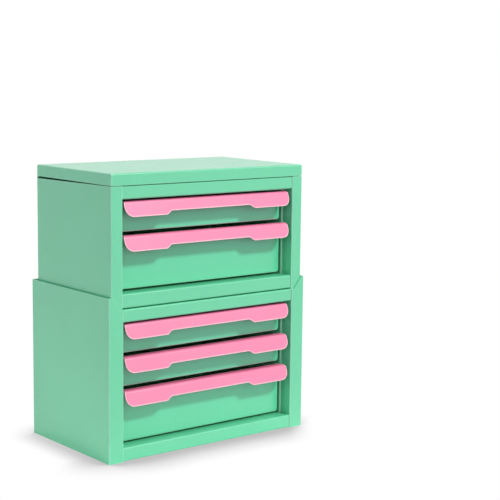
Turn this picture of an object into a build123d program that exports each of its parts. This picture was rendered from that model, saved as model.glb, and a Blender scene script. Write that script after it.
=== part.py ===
from build123d import *
import os
from dataclasses import dataclass
from math import copysign, cos, radians, tan

# Two stacked sheet-steel drawer cabinets for a desk. The upper one stands inside the rim of the lower one and
# carries a shallow tray under a hinged lid. Lengths are in millimetres: X runs across the front, Y from the
# front to the back and Z up. The origin is the middle of the plan, pulls included, at the level of the base.

# Sheet metal
sheet = 0.8                     # thickness of every folded panel
bend_radius = 0.8               # radius of a fold, on the middle line of the sheet
jamb_radius = 0.6               # the same where a stile turns back beside the drawers
seam = 0.25                     # open joint where two panels meet edge to edge
fit = 0.1                       # clearance between a piece and what it is fixed to
cut_overrun = 2.0               # how far a cutting solid runs past what it cuts

# Lower cabinet
lower_width = 180.0
lower_depth = 106.2
lower_height = 110.0            # from the base to the deck that the upper cabinet stands on
lower_stile = 12.4              # upright strip of the front, beside the drawers
lower_bottom_rail = 10.0
lower_top_rail = 9.3
rim_height = 9.2                # how far the sides and the back stand above the deck
ear_top_width = 2.8             # level top of each front ear, from the outer face of the side
ear_foot_width = 9.6            # the same at the level of the deck

# Upper cabinet
upper_height = 87.4             # from its base to the top of its front rail
upper_bottom_rail = 10.8
upper_top_rail = 9.8
upper_floor_lift = 0.5          # from the lower edge of its sides to the underside of its floor
nest_front_gap = 0.2            # between the lower cabinet's ears and the upper cabinet's front
nest_side_gap = 1.75            # between the rim and each side of the upper cabinet
nest_back_gap = 3.4             # between the rim and the back of the upper cabinet
side_drop = 0.2                 # how far the sides end below the top of the front rail, at the front
side_fall = 1.3                 # how much lower they are at the back

# Both cabinets
return_depth = 10.6             # how far the stiles and the top rails turn back beside the drawers
bay_ledge_depth = 28.0          # from the front to the back of the ledge under the lowest drawer
rail_setback = 0.8              # how far the rails stand behind the stiles

# Drawers
shallow_front = 21.9            # height of a shallow drawer, from its lower edge to the top of its pull
drawer_gap = 2.5                # between one drawer and the next
bay_bottom_gap = 1.6            # below the lowest drawer of a cabinet
bay_top_gap = 2.2               # above its highest drawer
drawer_recess = 10.4            # from the cabinet's front to the drawer fronts
front_side_gap = 3.8            # between a drawer front and each stile
front_edge_radius = 1.2         # outer radius of the folds along its sides and its lower edge
front_corner_radius = 2.2       # its round lower corners
front_return = 5.0              # how far the edges of a drawer front turn back
tray_back_gap = 3.0             # between a tray and the back of the upper cabinet
tray_edge_radius = 1.8          # outer radius of the folds and corners of a tray
tray_side_drop = 3.0            # top edge of a tray below the top of its pull

# Pulls
pull_side_gap = 2.4             # between a pull and each stile
pull_proud = 1.2                # how far the lip of a pull stands in front of its cabinet
pull_drop = 10.2                # from the top of a pull to its lower edge
pull_top_rise = 0.8             # how much higher the top of a pull is at its lip than at the drawer front
pull_top_radius = 2.2           # radius of the fold from the top into the lip, on the middle line
pull_lip_lean = 21.0            # degrees that the lip leans forward
pull_corner_radius = 6.6        # round lower corners of the lip
pull_crown_radius = 2.4         # and its round upper corners
pull_notch_width = 76.0         # raised middle of the lower edge, measured half way up its two steps
pull_notch_rise = 2.6
pull_step_run = 4.0             # length of each step
pull_step_radius = 2.6
pull_flange_inset = 8.7         # ends of the flange that hooks behind the drawer front, from the pull's ends
pull_flange_height = 7.5
pull_rivet_inset = 15.0         # from the ends of the flange to the rivets
pull_rivet_drop = 4.6           # from the top of a pull to its rivets

# Rivets
rivet_radius = 0.9
rivet_head_radius = 1.6
rivet_head_height = 0.6

# Drawer runners
runner_lip = 1.4                # how far a runner stands inside the stile, towards the drawers
runner_foot = 9.0               # feet that lie on the side of the cabinet
runner_back_gap = 3.0
runner_ledge_width = 7.0
runner_clearance = 0.15         # between a ledge and the tray that slides on it
closed_gap = 0.6                # between the ends of the ledges and a closed drawer front

# Lid and hinges
lid_gap = 0.15                  # between the top of the front rail and the lid
lid_height = 8.5
lid_edge_radius = 1.3
hinge_spacing = 104.0
hinge_length = 26.0
hinge_knuckles = 3
hinge_barrel_radius = 1.7
hinge_pin_radius = 0.9
hinge_pin_clearance = 0.05
hinge_pin_head = 0.6            # how far a pin stands out of its barrel at each end
hinge_offset = 0.35             # from the back of the cabinet to the barrel
hinge_knuckle_gap = 0.3
hinge_body_leaf = 9.0           # height of a leaf, from the axis to its far edge
hinge_lid_leaf = 7.6
hinge_rivet_spacing = 16.0
hinge_rivet_reach_share = 0.62  # height of the rivets on a leaf, as a share of the leaf

# Sizes that follow from these
half_sheet = sheet / 2
upper_width = lower_width - 2 * (sheet + nest_side_gap)
upper_depth = lower_depth - 2 * sheet - nest_front_gap - nest_back_gap
opening_half = lower_width / 2 - lower_stile
front_half = opening_half - front_side_gap
tray_depth = upper_depth - drawer_recess - 2 * sheet - tray_back_gap
pull_half = opening_half - pull_side_gap
pull_flange_half = pull_half - pull_flange_inset


@dataclass
class Drawer:
    """One drawer: its name, the lower edge and the height of its front, and the plane of that front."""

    name: str
    bottom: float
    height: float
    front: float

    @property
    def top(self):
        return self.bottom + self.height

    @property
    def tray_bottom(self):
        return self.bottom + sheet + fit


@dataclass
class Cabinet:
    """One cabinet: its outer faces, its levels and its drawers, the shallow ones from the top down."""

    half_width: float
    front: float
    depth: float
    base: float
    height: float
    floor_lift: float
    bottom_rail: float
    top_rail: float
    shallow_drawers: list
    deep_drawer: str

    @property
    def back(self):
        return self.front + self.depth

    @property
    def back_inside(self):
        return self.back - sheet

    @property
    def side_inside(self):
        return self.half_width - sheet

    @property
    def underside(self):
        return self.base + self.floor_lift

    @property
    def bay_floor(self):
        return self.base + self.bottom_rail

    @property
    def top(self):
        return self.base + self.height

    @property
    def bay_top(self):
        return self.top - self.top_rail

    @property
    def behind_returns(self):
        return self.front + return_depth

    def drawers(self):
        """The shallow drawers hang below the top rail, and the deep one takes the height that is left."""
        plane = self.front + drawer_recess
        level = self.bay_top - bay_top_gap
        for name in self.shallow_drawers:
            yield Drawer(name, level - shallow_front, shallow_front, plane)
            level -= shallow_front + drawer_gap
        bottom = self.bay_floor + bay_bottom_gap
        yield Drawer(self.deep_drawer, bottom, level - bottom, plane)


lower = Cabinet(
    half_width=lower_width / 2,
    front=(pull_proud - lower_depth) / 2,
    depth=lower_depth,
    base=0,
    height=lower_height,
    floor_lift=0,
    bottom_rail=lower_bottom_rail,
    top_rail=lower_top_rail,
    shallow_drawers=["lower_top_drawer", "lower_middle_drawer"],
    deep_drawer="lower_deep_drawer",
)
upper = Cabinet(
    half_width=upper_width / 2,
    front=lower.front + sheet + nest_front_gap,
    depth=upper_depth,
    base=lower.top,
    height=upper_height,
    floor_lift=upper_floor_lift,
    bottom_rail=upper_bottom_rail,
    top_rail=upper_top_rail,
    shallow_drawers=["upper_top_drawer"],
    deep_drawer="upper_deep_drawer",
)
rim_top = lower.top + rim_height
lid_bottom = upper.top + lid_gap
hinge_y = upper.back + hinge_offset + hinge_barrel_radius
hinge_z = upper.top
hinge_places = (-hinge_spacing / 2, hinge_spacing / 2)
hinge_body_rivet_z = hinge_z - hinge_body_leaf * hinge_rivet_reach_share
hinge_lid_rivet_z = hinge_z + hinge_lid_leaf * hinge_rivet_reach_share


# General shapes

def block(x_limits, y_limits, z_limits):
    """Box between the given limits."""
    sizes = [high - low for low, high in (x_limits, y_limits, z_limits)]
    middles = [(high + low) / 2 for low, high in (x_limits, y_limits, z_limits)]
    return Pos(*middles) * Box(*sizes)


def strip_face(line, radii):
    """Face of a sheet folded along a middle line, with a radius for each fold."""
    points = [Vector(*point) for point in line]
    runs = [(end - start).normalized() for start, end in zip(points, points[1:])]
    normals = [Vector(-run.Y, run.X) for run in runs]
    outline = []
    outline_radii = []
    for side in (half_sheet, -half_sheet):
        corners = [points[0] + normals[0] * side]
        for before, after, point in zip(normals, normals[1:], points[1:]):
            corners.append(point + (before + after) * (side / (1 + before.dot(after))))
        corners.append(points[-1] + normals[-1] * side)
        turns = [before.cross(after).Z for before, after in zip(runs, runs[1:])]
        folds = [radius - copysign(half_sheet, turn * side) for radius, turn in zip(radii, turns)]
        order = 1 if side > 0 else -1
        outline += corners[::order]
        outline_radii += [0, *folds[::order], 0]
    return make_face(FilletPolyline(*outline, radius=outline_radii, close=True))


def folded_up(line, radii, z_limits):
    """Sheet folded along a line in plan, standing between two levels."""
    face = strip_face(line, radii)
    return Pos(0, 0, z_limits[0]) * extrude(face, amount=z_limits[1] - z_limits[0])


def folded_across(line, radii, width):
    """Sheet folded along a line in the side view, running across the cabinet."""
    face = Plane.YZ * strip_face(line, radii)
    return extrude(face, amount=width / 2, both=True)


def prism_back(outline, radii, y_limits):
    """Prism with an outline in the front view, running from front to back."""
    face = Plane.XZ * make_face(FilletPolyline(*outline, radius=radii, close=True))
    return Pos(0, y_limits[0], 0) * extrude(face, amount=y_limits[1] - y_limits[0], dir=(0, 1, 0))


def rod(radius, start, end):
    """Round bar between two points."""
    line = Vector(*end) - Vector(*start)
    plane = Plane(origin=start, z_dir=line)
    return extrude(plane * Circle(radius), amount=line.length)


def mirrored_pair(piece):
    """A piece and its mirror image on the other side of the middle."""
    return [piece, mirror(piece, about=Plane.YZ)]


def rivet(x, z, face, grip):
    """Rivet along Y whose outer head lies on a face, and whose inner head closes behind the grip."""
    head_end = face - copysign(rivet_head_height, grip)
    tail_end = face + grip + copysign(rivet_head_height, grip)
    head = rod(rivet_head_radius, (x, face, z), (x, head_end, z))
    dome = head.edges().filter_by(GeomType.CIRCLE).sort_by_distance((x, head_end, z))[0]
    head = fillet(dome, radius=rivet_head_height / 2)
    shank = rod(rivet_radius, (x, face, z), (x, tail_end, z))
    tail = rod(rivet_head_radius, (x, face + grip, z), (x, tail_end, z))
    return head + shank + tail


def rivet_hole(x, z, y_limits):
    """Cutter for a rivet's hole through everything between two places along Y."""
    return rod(rivet_radius + fit, (x, y_limits[0], z), (x, y_limits[1], z))


# Cabinet panels

def make_wrap(cabinet, top):
    """Folded sheet that makes the back, both sides, both stiles and their returns."""
    side = cabinet.half_width - half_sheet
    face = cabinet.front + half_sheet
    jamb = opening_half + half_sheet
    right = [(side, cabinet.back - half_sheet), (side, face), (jamb, face), (jamb, cabinet.behind_returns)]
    right_radii = [bend_radius, bend_radius, jamb_radius]
    left = [(-x, y) for x, y in reversed(right)]
    return folded_up(left + right, right_radii[::-1] + right_radii, (cabinet.base, top))


def make_lower_wrap():
    wrap = make_wrap(lower, rim_top)
    ear_top = lower.half_width - ear_top_width
    ear_foot = lower.half_width - ear_foot_width
    above = rim_top + cut_overrun
    right = [(ear_foot, lower.top), (ear_top, rim_top), (ear_top, above)]
    outline = right + [(-x, z) for x, z in reversed(right)]
    reach = (lower.front - cut_overrun, lower.behind_returns + cut_overrun)
    return wrap - prism_back(outline, [0] * len(outline), reach)


def make_upper_wrap():
    side_top = upper.top - side_drop
    wrap = make_wrap(upper, side_top)
    above = side_top + cut_overrun
    slope = [
        (upper.front, side_top),
        (upper.back_inside, side_top - side_fall),
        (upper.back_inside, above),
        (upper.front, above),
    ]
    wedge = extrude(Plane.YZ * make_face(Polyline(*slope, close=True)), amount=upper.half_width, both=True)
    return wrap - wedge - hinge_holes(hinge_body_rivet_z)


def make_pan(cabinet, panel, rail_edge, ledge_depth):
    """Panel across the cabinet whose front is folded into a box-shaped rail between the stiles.

    panel is the level of the panel's outer face, and rail_edge the level of the rail's other edge, where a
    ledge runs back. The ledge is narrower beside the runners.
    """
    inward = copysign(1, rail_edge - panel)
    face = cabinet.front + rail_setback + half_sheet
    leg = cabinet.front + ledge_depth - half_sheet
    panel_middle = panel + inward * half_sheet
    ledge_middle = rail_edge - inward * half_sheet
    back = cabinet.back_inside - seam
    line = [
        (back, panel_middle),
        (face, panel_middle),
        (face, ledge_middle),
        (leg, ledge_middle),
        (leg, panel + inward * (sheet + seam)),
    ]
    pan = folded_across(line, [bend_radius] * (len(line) - 2), 2 * (opening_half - fit))
    for notch in mirrored_pair(
        block(
            (opening_half - runner_lip - seam, opening_half),
            (cabinet.behind_returns, leg + cut_overrun),
            sorted((panel + inward * sheet, rail_edge + inward * cut_overrun)),
        )
    ):
        pan -= notch
    side = cabinet.side_inside - seam
    levels = sorted((panel, panel + inward * sheet))
    return pan + block((-side, side), (cabinet.behind_returns + seam, back), levels)


def make_runner(cabinet, ceiling):
    """Right-hand runner: a channel welded to the side, with a ledge for each drawer."""
    wall = cabinet.side_inside - half_sheet
    crown_face = opening_half - runner_lip
    crown = crown_face + half_sheet
    front = cabinet.behind_returns + fit + half_sheet
    back = cabinet.back_inside - runner_back_gap - half_sheet
    line = [
        (wall, front + runner_foot),
        (wall, front),
        (crown, front),
        (crown, back),
        (wall, back),
        (wall, back - runner_foot),
    ]
    runner = folded_up(line, [bend_radius] * (len(line) - 2), (cabinet.underside + sheet, ceiling))
    for drawer in cabinet.drawers():
        ledge_top = drawer.tray_bottom - runner_clearance
        runner += block(
            (crown_face - runner_ledge_width, crown),
            (drawer.front + front_return + closed_gap, back),
            (ledge_top - sheet, ledge_top),
        )
    return runner


# Drawers

def rounded_box(x_limits, y_limits, z_limits, radius):
    """Block with round lower and upright edges."""
    solid = block(x_limits, y_limits, z_limits)
    uprights = solid.edges().filter_by(Axis.Z)
    lower_edges = solid.faces().sort_by(Axis.Z)[0].edges()
    return fillet([*uprights, *lower_edges], radius=radius)


def front_block(drawer, inset, back, top):
    """Block of a drawer front's outline, drawn in by an inset, with round lower corners and folded edges."""
    side = front_half - inset
    solid = block((-side, side), (drawer.front + inset, back), (drawer.bottom + inset, top))
    corners = solid.edges().filter_by(Axis.Y).group_by(Axis.Z)[0]
    solid = fillet(corners, radius=front_corner_radius - inset)
    outline = solid.faces().sort_by(Axis.Y)[0].edges().sort_by(Axis.Z)[:-1]
    return fillet(outline, radius=front_edge_radius - inset)


def make_front(drawer):
    """Drawer front: a panel whose sides and lower edge turn back."""
    top = drawer.top - sheet - (bend_radius - half_sheet)
    back = drawer.front + front_return
    outer = front_block(drawer, 0, back, top)
    inner = front_block(drawer, sheet, back + cut_overrun, top + cut_overrun)
    return outer - inner - pull_rivet_holes(drawer)


def make_tray(drawer):
    """Open box behind the drawer front, cut low in front of the pull's flange."""
    side = front_half - sheet - fit
    front = drawer.front + sheet
    back = front + tray_depth
    top = drawer.top - tray_side_drop
    outer = rounded_box((-side, side), (front, back), (drawer.tray_bottom, top), tray_edge_radius)
    inner = rounded_box(
        (sheet - side, side - sheet),
        (front + sheet, back - sheet),
        (drawer.tray_bottom + sheet, top + cut_overrun),
        tray_edge_radius - sheet,
    )
    notch_half = pull_flange_half + seam
    notch = block(
        (-notch_half, notch_half),
        (front - cut_overrun, front + tray_edge_radius),
        (drawer.top - pull_flange_height - seam, top + cut_overrun),
    )
    return outer - inner - notch


def make_pull(drawer, cabinet_front):
    """Full-width pull: a flange hooked over the drawer front, a rising top and a lip that leans forward."""
    flange = drawer.front + sheet + half_sheet
    top = drawer.top - half_sheet
    lip_top = top + pull_top_rise
    lip_end = drawer.top - pull_drop
    lip_below = lip_end - cut_overrun
    lean = radians(pull_lip_lean)
    lip_end_y = cabinet_front - pull_proud + half_sheet / cos(lean)
    line = [
        (flange, drawer.top - pull_flange_height),
        (flange, top),
        (lip_end_y + (lip_top - lip_end) * tan(lean), lip_top),
        (lip_end_y + (lip_below - lip_end) * tan(lean), lip_below),
    ]
    pull = folded_across(line, [bend_radius, pull_top_radius], 2 * pull_half)
    step_in = (pull_notch_width - pull_step_run) / 2
    step_out = (pull_notch_width + pull_step_run) / 2
    right = [
        (step_in, lip_end + pull_notch_rise),
        (step_out, lip_end),
        (pull_half, lip_end),
        (pull_half, drawer.top + pull_top_rise),
    ]
    right_radii = [pull_step_radius, pull_step_radius, pull_corner_radius, pull_crown_radius]
    outline = right + [(-x, z) for x, z in reversed(right)]
    radii = right_radii + right_radii[::-1]
    pull &= prism_back(outline, radii, (cabinet_front - pull_proud - cut_overrun, flange + cut_overrun))
    for end in mirrored_pair(
        block(
            (pull_flange_half, pull_half + cut_overrun),
            (drawer.front + sheet, flange + cut_overrun),
            (lip_end, drawer.top + cut_overrun),
        )
    ):
        pull -= end
    return pull - pull_rivet_holes(drawer)


def pull_rivet_places(drawer):
    reach = pull_flange_half - pull_rivet_inset
    return [(side * reach, drawer.top - pull_rivet_drop) for side in (-1, 1)]


def pull_rivet_holes(drawer):
    reach = (drawer.front - rivet_head_height, drawer.front + 2 * sheet + rivet_head_height)
    return [rivet_hole(x, z, reach) for x, z in pull_rivet_places(drawer)]


def make_pull_rivets(drawer):
    return [rivet(x, z, drawer.front, 2 * sheet) for x, z in pull_rivet_places(drawer)]


# Lid and hinges

def hinge_rivet_places(level):
    return [(place + side * hinge_rivet_spacing / 2, level) for place in hinge_places for side in (-1, 1)]


def hinge_holes(level):
    reach = (upper.back_inside - cut_overrun, upper.back + sheet + cut_overrun)
    return [rivet_hole(x, z, reach) for x, z in hinge_rivet_places(level)]


def make_hinge_rivets(level):
    return [rivet(x, z, upper.back + sheet, -2 * sheet) for x, z in hinge_rivet_places(level)]


def lid_block(inset, bottom):
    """Block of the lid's outline, drawn in by an inset, with round upright and upper edges."""
    side = upper.half_width - inset
    solid = block(
        (-side, side),
        (upper.front + inset, upper.back - inset),
        (bottom, lid_bottom + lid_height - inset),
    )
    edges = [*solid.edges().filter_by(Axis.Z), *solid.faces().sort_by(Axis.Z)[-1].edges()]
    return fillet(edges, radius=lid_edge_radius - inset)


def make_lid():
    lid = lid_block(0, lid_bottom) - lid_block(sheet, lid_bottom - cut_overrun)
    return lid - hinge_holes(hinge_lid_rivet_z)


def make_leaves(knuckles, up, height, rivet_level):
    """One leaf of each hinge, on the back of the stack, with the knuckles that it carries.

    up is 1 for the lid's leaf, above the axis, and -1 for the cabinet's.
    """
    near_edge = hinge_z + up * (hinge_barrel_radius + hinge_knuckle_gap)
    leaf_y = (upper.back, upper.back + sheet)
    knuckle_length = hinge_length / hinge_knuckles
    leaves = []
    for place in hinge_places:
        start = place - hinge_length / 2
        end = place + hinge_length / 2
        leaf = block((start, end), leaf_y, sorted((near_edge, hinge_z + up * height)))
        for index in knuckles:
            left = start + index * knuckle_length + hinge_knuckle_gap / 2
            right = start + (index + 1) * knuckle_length - hinge_knuckle_gap / 2
            leaf += block((left, right), leaf_y, sorted((hinge_z, near_edge)))
            leaf += rod(hinge_barrel_radius, (left, hinge_y, hinge_z), (right, hinge_y, hinge_z))
        bore = hinge_pin_radius + hinge_pin_clearance
        leaf -= rod(bore, (start, hinge_y, hinge_z), (end, hinge_y, hinge_z))
        leaves.append(leaf - hinge_holes(rivet_level))
    return leaves


def make_pins():
    reach = hinge_length / 2 + hinge_pin_head
    return [
        rod(hinge_pin_radius, (place - reach, hinge_y, hinge_z), (place + reach, hinge_y, hinge_z))
        for place in hinge_places
    ]


# All pieces, each under the name of its file

lower_runners = mirrored_pair(make_runner(lower, lower.top - sheet))
upper_runners = mirrored_pair(make_runner(upper, upper.bay_top))
pieces = {
    "lower_wrap": make_lower_wrap(),
    "lower_floor": make_pan(lower, lower.underside, lower.bay_floor, bay_ledge_depth),
    "lower_deck": make_pan(lower, lower.top, lower.bay_top, return_depth),
    "lower_runner_right": lower_runners[0],
    "lower_runner_left": lower_runners[1],
    "upper_wrap": make_upper_wrap(),
    "upper_floor": make_pan(upper, upper.underside, upper.bay_floor, bay_ledge_depth),
    "upper_tray": make_pan(upper, upper.bay_top, upper.top, return_depth),
    "upper_runner_right": upper_runners[0],
    "upper_runner_left": upper_runners[1],
    "lid": make_lid(),
    "hinge_body_leaves": make_leaves((0, 2), -1, hinge_body_leaf, hinge_body_rivet_z),
    "hinge_lid_leaves": make_leaves((1,), 1, hinge_lid_leaf, hinge_lid_rivet_z),
    "hinge_pins": make_pins(),
    "hinge_body_rivets": make_hinge_rivets(hinge_body_rivet_z),
    "hinge_lid_rivets": make_hinge_rivets(hinge_lid_rivet_z),
}
for cabinet in (lower, upper):
    for drawer in cabinet.drawers():
        pieces[f"{drawer.name}_tray"] = make_tray(drawer)
        pieces[f"{drawer.name}_front"] = make_front(drawer)
        pieces[f"{drawer.name}_pull"] = make_pull(drawer, cabinet.front)
        pieces[f"{drawer.name}_rivets"] = make_pull_rivets(drawer)

os.makedirs("parts", exist_ok=True)
for name, piece in pieces.items():
    group = piece if isinstance(piece, list) else [piece]
    solids = [solid for shape in group for solid in shape.solids()]
    export_step(solids[0] if len(solids) == 1 else Compound(solids), f"parts/{name}.step")
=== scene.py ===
from math import cos, radians, sin

import bpy
from mathutils import Matrix, Vector


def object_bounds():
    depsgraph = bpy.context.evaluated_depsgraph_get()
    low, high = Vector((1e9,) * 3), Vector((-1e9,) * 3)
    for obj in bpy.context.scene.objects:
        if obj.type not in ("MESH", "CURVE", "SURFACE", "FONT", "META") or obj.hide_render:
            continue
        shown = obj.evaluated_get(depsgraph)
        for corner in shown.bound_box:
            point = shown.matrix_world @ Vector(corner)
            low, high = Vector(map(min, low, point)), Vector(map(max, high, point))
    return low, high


# Looks of two stacked drawer cabinets in painted sheet steel: mint bodies, pink pulls, zinc hinges and
# aluminium rivets. Every shape comes from the frame. Lengths are in metres and angles in degrees.
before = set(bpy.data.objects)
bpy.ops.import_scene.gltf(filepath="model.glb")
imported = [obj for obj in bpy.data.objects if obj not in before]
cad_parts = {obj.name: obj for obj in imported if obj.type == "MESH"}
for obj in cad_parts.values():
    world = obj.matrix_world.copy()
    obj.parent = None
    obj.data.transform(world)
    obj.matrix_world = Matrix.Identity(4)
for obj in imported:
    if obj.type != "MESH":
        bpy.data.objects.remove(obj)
cad_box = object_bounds()

# Camera, fitted to the photograph
camera_place = Vector((-0.59038, -0.82446, 0.28171))
camera_yaw = 39.04              # to the right of straight back
camera_pitch = 7.90             # down
camera_roll = 0.69              # right side up
camera_lens = 96.29             # millimetres, as is the width of the sensor
camera_sensor = 36.0

# Lamps
key_azimuth = 23.0              # to the right of the front
key_elevation = 44.0
key_distance = 2.2
key_size = 0.3
key_power = 39.5
bounce_azimuth = -95.0
bounce_height = 0.01
bounce_distance = 0.09
bounce_size = 0.03
bounce_power = 0.006

# World
white = (1.0, 1.0, 1.0)
world_light = ((0.0, 0.80), (12.0, 1.70), (22.0, 1.80), (33.0, 0.08))  # strength by angle above the horizon
left_light = 1.20               # factor on it at the far left
right_light = 0.88

# Floor as it throws light back, with a painted pool of light around the base and painted shade in front of
# the drawers
floor_radius = 6.0
floor_sides = 96
floor_near = 0.95               # tone around the base, a painted pool of light
floor_far = 0.4
floor_near_end = 0.15           # distances from the middle between which the tone changes
floor_far_start = 0.5
floor_front = 0.40              # how much of it is left in front of the drawers, painted shade
floor_front_end = 2.0           # where it has fallen to that, in half depths of the object

# Floor as it is seen
side_shadow = 0.028             # how far the contact shadow reaches, beside the object
front_shadow = 0.055            # and in front of the drawers
side_shadow_start = 0.5         # where it has shrunk to the reach beside the object, in half depths
shadow_tone = 0.53              # the floor where it is darkest, at the front
back_shadow_tone = 0.66         # and at the back
shadow_open = (0.60, 0.95)      # openness of the floor between which the shadow fades out
shadow_slant = 39.0             # the shadow ends along a line that slants back from the front right corner
shadow_end = (-0.010, 0.008)    # how far it fades out across that line
shadow_samples = 24

# Colours of the paint
mint = (0.094, 0.543, 0.298)
mint_front = (0.068, 0.538, 0.288)
# pale colour for the cabinet's edges and bends: thin paint and painted highlight on the edges, painted
# highlight only on the bends
mint_thin_edge_and_highlight = (0.20, 0.62, 0.40)
# painted highlight on the rounded rim of the drawer fronts
front_rim_highlight = (0.42, 0.74, 0.57)
pink = (0.770, 0.170, 0.324)
# pale colour for the pulls' edges and bends: partly thin paint, partly painted highlight
pink_thin_edge_and_highlight = (0.80, 0.46, 0.52)

# Powder coat
paint_roughness = (0.20, 0.28)
paint_ior = 1.9
peel_grain = 0.0009             # size of the ripples
peel_depth = 0.00001
speckle_grain = peel_grain / 2
speckle_share = 0.05            # how strongly the paler speckles show
speckle_paleness = 0.5          # and how far they go towards white
mottle_grain = 0.045            # size of the soft patches of tone
mottle_noise = (0.3, 0.7)       # noise between which the tone changes
mottle_tones = (0.98, 1.02)     # factors on the colour
sheen_grain = mottle_grain / 3

# Rubbed streaks along the drawer trays
rub_grain = 0.0012
rub_stretch = (1, 0.03, 1)
rub_noise = (0.55, 0.75)
rub_share = 0.12
rub_paleness = 0.6

# Pale edges: partly paint that is thin there, partly painted highlight; the pale bends and the pale rim of a
# drawer front are painted highlight
edge_width = 0.0009
pull_edge_width = 0.0016
edge_agreement = (0.90, 0.99)   # of a rounded normal with the real one, from an edge to a flat face
edge_samples = 6
bend_turn = (0.10, 0.30)        # a bend's painted highlight is palest beyond the second of these, 0.5 facing half way round
rim_turn = ((0.0, 0.0), (0.3, 1.0), (0.85, 1.0), (0.98, 0.0))  # painted highlight between these, 1 facing forward

# Bare metal
zinc = (0.62, 0.63, 0.65)
zinc_roughness = (0.28, 0.42)
zinc_grain = 0.0006
zinc_stretch = (0.05, 1, 1)
aluminium = (0.72, 0.73, 0.74)
aluminium_roughness = (0.3, 0.45)
aluminium_grain = 0.0004
unstretched = (1, 1, 1)
grain_tone = 1.04               # factor on the colour along the grain
grain_depth = 0.00001
cloud_grain = 0.006             # size of the cloudy patches
cloud_tones = (0.88, 1.08)

# Octaves of noise
speckle_detail = 1.0
ripple_detail = 2.0
cloud_detail = 3.0


# Node helpers

class Nodes:
    """A node tree under construction, with short ways to add nodes."""

    # Places of the colours among the sockets of a mix node
    mix_colours = slice(6, 8)
    mix_result = 2

    def __init__(self, tree):
        self.tree = tree

    def node(self, kind, **settings):
        made = self.tree.nodes.new(kind)
        for key, value in settings.items():
            setattr(made, key, value)
        return made

    def feed(self, socket, value):
        """Give a socket another node's output, a colour or any other plain value."""
        if isinstance(value, bpy.types.NodeSocket):
            self.tree.links.new(value, socket)
        elif socket.type == "RGBA":
            socket.default_value = (*value, 1)
        else:
            socket.default_value = value

    def math(self, operation, *values):
        """Arithmetic on numbers."""
        made = self.node("ShaderNodeMath", operation=operation)
        for socket, value in zip(made.inputs, values):
            self.feed(socket, value)
        return made.outputs["Value"]

    def measure(self, operation, *vectors):
        """A number worked out from vectors."""
        made = self.node("ShaderNodeVectorMath", operation=operation)
        for socket, vector in zip(made.inputs, vectors):
            self.feed(socket, vector)
        return made.outputs["Value"]

    def split(self, vector):
        """The parts of a vector, by axis."""
        made = self.node("ShaderNodeSeparateXYZ")
        self.feed(made.inputs["Vector"], vector)
        return made.outputs

    def spread(self, value, low, high, from_low=0.0, from_high=1.0):
        """A value moved from one range to another."""
        made = self.node("ShaderNodeMapRange")
        numbers = {"From Min": from_low, "From Max": from_high, "To Min": low, "To Max": high, "Value": value}
        for name, number in numbers.items():
            self.feed(made.inputs[name], number)
        return made.outputs["Result"]

    def steps(self, value, stops):
        """A level that goes straight from stop to stop, each a value with its level."""
        made = self.node("ShaderNodeValToRGB")
        elements = made.color_ramp.elements
        while len(elements) < len(stops):
            elements.new(1)
        for element, (place, level) in zip(elements, stops):
            element.position = place
            element.color = (level, level, level, 1)
        self.feed(made.inputs["Fac"], value)
        return made.outputs["Color"]

    def mix(self, share, first, second):
        """Mix of two colours."""
        made = self.node("ShaderNodeMix", data_type="RGBA")
        self.feed(made.inputs["Factor"], share)
        for socket, colour in zip(made.inputs[self.mix_colours], (first, second)):
            self.feed(socket, colour)
        return made.outputs[self.mix_result]

    def seen_directly(self):
        """1 for rays from the camera, in reflections and through glass, and 0 for light on the object."""
        path = self.node("ShaderNodeLightPath").outputs
        seen = self.math("MAXIMUM", path["Is Camera Ray"], path["Is Glossy Ray"])
        return self.math("MAXIMUM", seen, path["Is Transmission Ray"])


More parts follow.
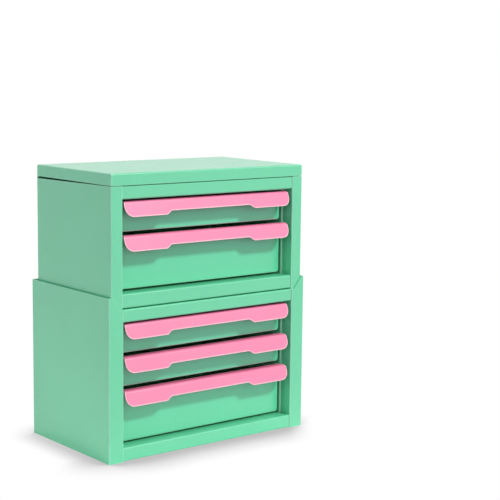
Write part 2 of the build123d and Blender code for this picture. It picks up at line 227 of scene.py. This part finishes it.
class Shader(Nodes):
    """A material under construction: its nodes, its surface shader and the patterns on its pieces."""

    def __init__(self, name):
        self.material = bpy.data.materials.new(name)
        self.material.use_nodes = True
        super().__init__(self.material.node_tree)
        self.surface = self.tree.nodes["Principled BSDF"]

    def set(self, name, value):
        """Give the surface one of its values."""
        self.feed(self.surface.inputs[name], value)

    def place(self, stretch=unstretched):
        """Place on the piece, in its rest frame, stretched along the axes."""
        mapping = self.node("ShaderNodeMapping")
        self.feed(mapping.inputs["Scale"], stretch)
        self.feed(mapping.inputs["Vector"], self.node("ShaderNodeTexCoord").outputs["Object"])
        return mapping.outputs["Vector"]

    def facing(self):
        """Direction that the surface faces, in the rest frame of its piece, by axis."""
        return self.split(self.node("ShaderNodeTexCoord").outputs["Normal"])

    def noise(self, grain, detail, stretch=unstretched):
        """Noise whose patches are about one grain across."""
        made = self.node("ShaderNodeTexNoise")
        self.feed(made.inputs["Scale"], 1 / grain)
        self.feed(made.inputs["Detail"], detail)
        self.feed(made.inputs["Vector"], self.place(stretch))
        return made.outputs["Fac"]

    def edges(self, width):
        """1 on the edges of a piece and 0 away from them, by how far a rounded normal leaves the real one."""
        bevel = self.node("ShaderNodeBevel", samples=edge_samples)
        self.feed(bevel.inputs["Radius"], width)
        real = self.node("ShaderNodeNewGeometry").outputs["Normal"]
        agreement = self.measure("DOT_PRODUCT", bevel.outputs["Normal"], real)
        return self.spread(agreement, 1, 0, *edge_agreement)

    def bends(self):
        """1 along the upright bends of a cabinet, where the surface faces between its side and its front, for
        a painted highlight there.
        """
        facing = self.facing()
        turned = self.math("MULTIPLY", facing["X"], facing["Y"])
        return self.spread(self.math("ABSOLUTE", turned), 0, 1, *bend_turn)

    def rim(self):
        """1 on the rounded border of a drawer front, where the surface turns away from straight forward, for
        a painted highlight there.
        """
        forward = self.math("MULTIPLY", self.facing()["Y"], -1)
        return self.steps(forward, rim_turn)

    def bump(self, height, depth):
        """Relief in the surface, from a pattern of heights."""
        made = self.node("ShaderNodeBump")
        self.feed(made.inputs["Distance"], depth)
        self.feed(made.inputs["Height"], height)
        self.set("Normal", made.outputs["Normal"])


def toned(colour, factor):
    """A colour made lighter or darker, up to full strength."""
    return tuple(min(1.0, channel * factor) for channel in colour)


def paler(colour, share):
    """A colour taken a share of the way to white."""
    return tuple(channel + (1 - channel) * share for channel in colour)


# Materials

def powder_coat(name, colour, edge, width=edge_width, rubbed=False, rimmed=False):
    """Satin powder coat: rippled like orange peel, a little uneven in tone, pale along the edges partly where
    the paint is thin and partly as painted highlight, with painted highlight on the bends or on the rim of a
    drawer front.
    """
    shader = Shader(name)
    mottle = shader.spread(shader.noise(mottle_grain, cloud_detail), 0, 1, *mottle_noise)
    ground = shader.mix(mottle, *(toned(colour, factor) for factor in mottle_tones))
    speckle = shader.spread(shader.noise(speckle_grain, speckle_detail), 0, speckle_share)
    ground = shader.mix(speckle, ground, paler(colour, speckle_paleness))
    if rubbed:
        streaks = shader.spread(shader.noise(rub_grain, ripple_detail, rub_stretch), 0, rub_share, *rub_noise)
        ground = shader.mix(streaks, ground, paler(colour, rub_paleness))
    # the pale border: painted highlight on the bends or the rim of a drawer front, partly thin paint and
    # partly painted highlight on the edges
    if rimmed:
        border = shader.rim()
    else:
        border = shader.math("MAXIMUM", shader.edges(width), shader.bends())
    shader.set("Base Color", shader.mix(border, ground, edge))
    shader.set("Roughness", shader.spread(shader.noise(sheen_grain, cloud_detail), *paint_roughness))
    shader.set("IOR", paint_ior)
    shader.bump(shader.noise(peel_grain, ripple_detail), peel_depth)
    return shader.material


def bare_metal(name, colour, roughness, grain, stretch=unstretched):
    """Metal with a fine grain along one direction and cloudy patches of tone."""
    shader = Shader(name)
    shader.set("Metallic", 1)
    lines = shader.noise(grain, cloud_detail, stretch)
    clouds = shader.noise(cloud_grain, cloud_detail)
    ground = shader.mix(clouds, *(toned(colour, factor) for factor in cloud_tones))
    shader.set("Base Color", shader.mix(lines, ground, toned(colour, grain_tone)))
    shader.set("Roughness", shader.spread(lines, *roughness))
    shader.bump(lines, grain_depth)
    return shader.material


def dress():
    """Give every node of the frame its material, by the end of its name. The others are cabinet panels."""
    cabinet = powder_coat("mint_cabinet", mint, mint_thin_edge_and_highlight)
    front = powder_coat("mint_drawer_front", mint_front, front_rim_highlight, rimmed=True)
    tray = powder_coat("mint_drawer_tray", mint_front, mint_thin_edge_and_highlight, rubbed=True)
    pull = powder_coat("pink_pull", pink, pink_thin_edge_and_highlight, pull_edge_width)
    hinge = bare_metal("zinc_hinge", zinc, zinc_roughness, zinc_grain, zinc_stretch)
    rivet = bare_metal("aluminium_rivet", aluminium, aluminium_roughness, aluminium_grain)
    by_ending = {"_front": front, "drawer_tray": tray, "_pull": pull, "_leaves": hinge, "_pins": hinge,
                 "_rivets": rivet}
    for name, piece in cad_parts.items():
        special = [material for ending, material in by_ending.items() if name.endswith(ending)]
        piece.data.materials.clear()
        piece.data.materials.append(special[0] if special else cabinet)


# Stage

def make_world():
    """White where it is seen. As light, soft all round near the horizon and weaker overhead."""
    world = bpy.data.worlds.new("studio")
    world.use_nodes = True
    bpy.context.scene.world = world
    nodes = Nodes(world.node_tree)
    towards = nodes.split(nodes.node("ShaderNodeTexCoord").outputs["Generated"])
    by_height = nodes.steps(towards["Z"], [(sin(radians(angle)), level) for angle, level in world_light])
    by_side = nodes.spread(towards["X"], left_light, right_light, -1, 1)
    strength = nodes.node("ShaderNodeMix")
    nodes.feed(strength.inputs["Factor"], nodes.seen_directly())
    nodes.feed(strength.inputs["A"], nodes.math("MULTIPLY", by_height, by_side))
    nodes.feed(strength.inputs["B"], 1)
    background = nodes.tree.nodes["Background"]
    nodes.feed(background.inputs["Color"], white)
    nodes.feed(background.inputs["Strength"], strength.outputs["Result"])


def floor_bounce(shader, where, depth):
    """The floor as it throws light back: a painted pool of light around the base and painted shade in front
    of the drawers.
    """
    front = cad_box[0].y
    distance = shader.measure("LENGTH", where)
    around = shader.spread(distance, floor_near, floor_far, floor_near_end, floor_far_start)
    ahead = shader.spread(depth, floor_front, 1, floor_front_end * front, front)
    diffuse = shader.node("ShaderNodeBsdfDiffuse")
    shader.feed(diffuse.inputs["Color"], shader.math("MULTIPLY", around, ahead))
    return diffuse.outputs["BSDF"]


def floor_shadow(shader, where, depth):
    """The floor as it is seen: white, with a soft shadow that ends at the front right corner."""
    front, back = cad_box[0].y, cad_box[1].y
    openness = shader.node("ShaderNodeAmbientOcclusion", samples=shadow_samples)
    reach = shader.spread(depth, front_shadow, side_shadow, front, side_shadow_start * front)
    shader.feed(openness.inputs["Distance"], reach)
    darkest = shader.spread(depth, shadow_tone, back_shadow_tone, front, back)
    shade = shader.spread(openness.outputs["AO"], darkest, 1, *shadow_open)

    slant = radians(shadow_slant)
    across = Vector((cos(slant), -sin(slant), 0))
    corner = across.dot(Vector((cad_box[1].x, front, 0)))
    past_corner = shader.measure("DOT_PRODUCT", where, across)
    lit = shader.spread(past_corner, 0, 1, *(corner + offset for offset in shadow_end))

    emission = shader.node("ShaderNodeEmission")
    shader.feed(emission.inputs["Color"], shader.mix(lit, shade, white))
    return emission.outputs["Emission"]


def make_floor():
    """White floor that throws light back and shows only the soft shadow close to the base."""
    bpy.ops.mesh.primitive_circle_add(vertices=floor_sides, radius=floor_radius, fill_type="NGON")
    floor = bpy.context.object
    floor.name = "floor"
    shader = Shader("floor")
    where = shader.place()
    depth = shader.split(where)["Y"]
    both = shader.node("ShaderNodeMixShader")
    share, as_light, as_seen = both.inputs
    shader.feed(share, shader.seen_directly())
    shader.feed(as_light, floor_bounce(shader, where, depth))
    shader.feed(as_seen, floor_shadow(shader, where, depth))
    output = shader.tree.nodes["Material Output"]
    shader.feed(output.inputs["Surface"], both.outputs["Shader"])
    floor.data.materials.append(shader.material)


def direction(azimuth, elevation):
    """Unit vector towards a place round the object, with azimuth from the front towards the right."""
    turn = Matrix.Rotation(radians(azimuth), 3, "Z") @ Matrix.Rotation(-radians(elevation), 3, "X")
    return turn @ Vector((0, -1, 0))


def make_lamp(name, target, towards, distance, size, power):
    """A round soft box that shines on a target from one side."""
    data = bpy.data.lights.new(name, "AREA")
    data.shape = "DISK"
    data.size = size
    data.energy = power
    lamp = bpy.data.objects.new(name, data)
    lamp.visible_camera = False
    lamp.location = target + towards * distance
    lamp.rotation_euler = towards.to_track_quat("Z", "Y").to_euler()
    bpy.context.scene.collection.objects.link(lamp)


def make_lamps():
    """The key in front, high and to the right, and a weak light from the floor on the left."""
    low, high = cad_box
    middle = (low + high) / 2
    foot = Vector((low.x, middle.y, bounce_height))
    make_lamp("key", middle, direction(key_azimuth, key_elevation), key_distance, key_size, key_power)
    make_lamp("bounce", foot, direction(bounce_azimuth, 0), bounce_distance, bounce_size, bounce_power)


def make_camera():
    """The camera, turned from straight down to its pitch, yaw and roll."""
    data = bpy.data.cameras.new("camera")
    data.lens = camera_lens
    data.sensor_width = camera_sensor
    camera = bpy.data.objects.new("camera", data)
    turn = (
        Matrix.Rotation(-radians(camera_yaw), 4, "Z")
        @ Matrix.Rotation(radians(90 - camera_pitch), 4, "X")
        @ Matrix.Rotation(radians(camera_roll), 4, "Z")
    )
    camera.matrix_world = Matrix.Translation(camera_place) @ turn
    bpy.context.scene.collection.objects.link(camera)
    bpy.context.scene.camera = camera


make_camera()
dress()
make_world()
make_floor()
make_lamps()
bpy.context.scene.view_settings.view_transform = "Standard"
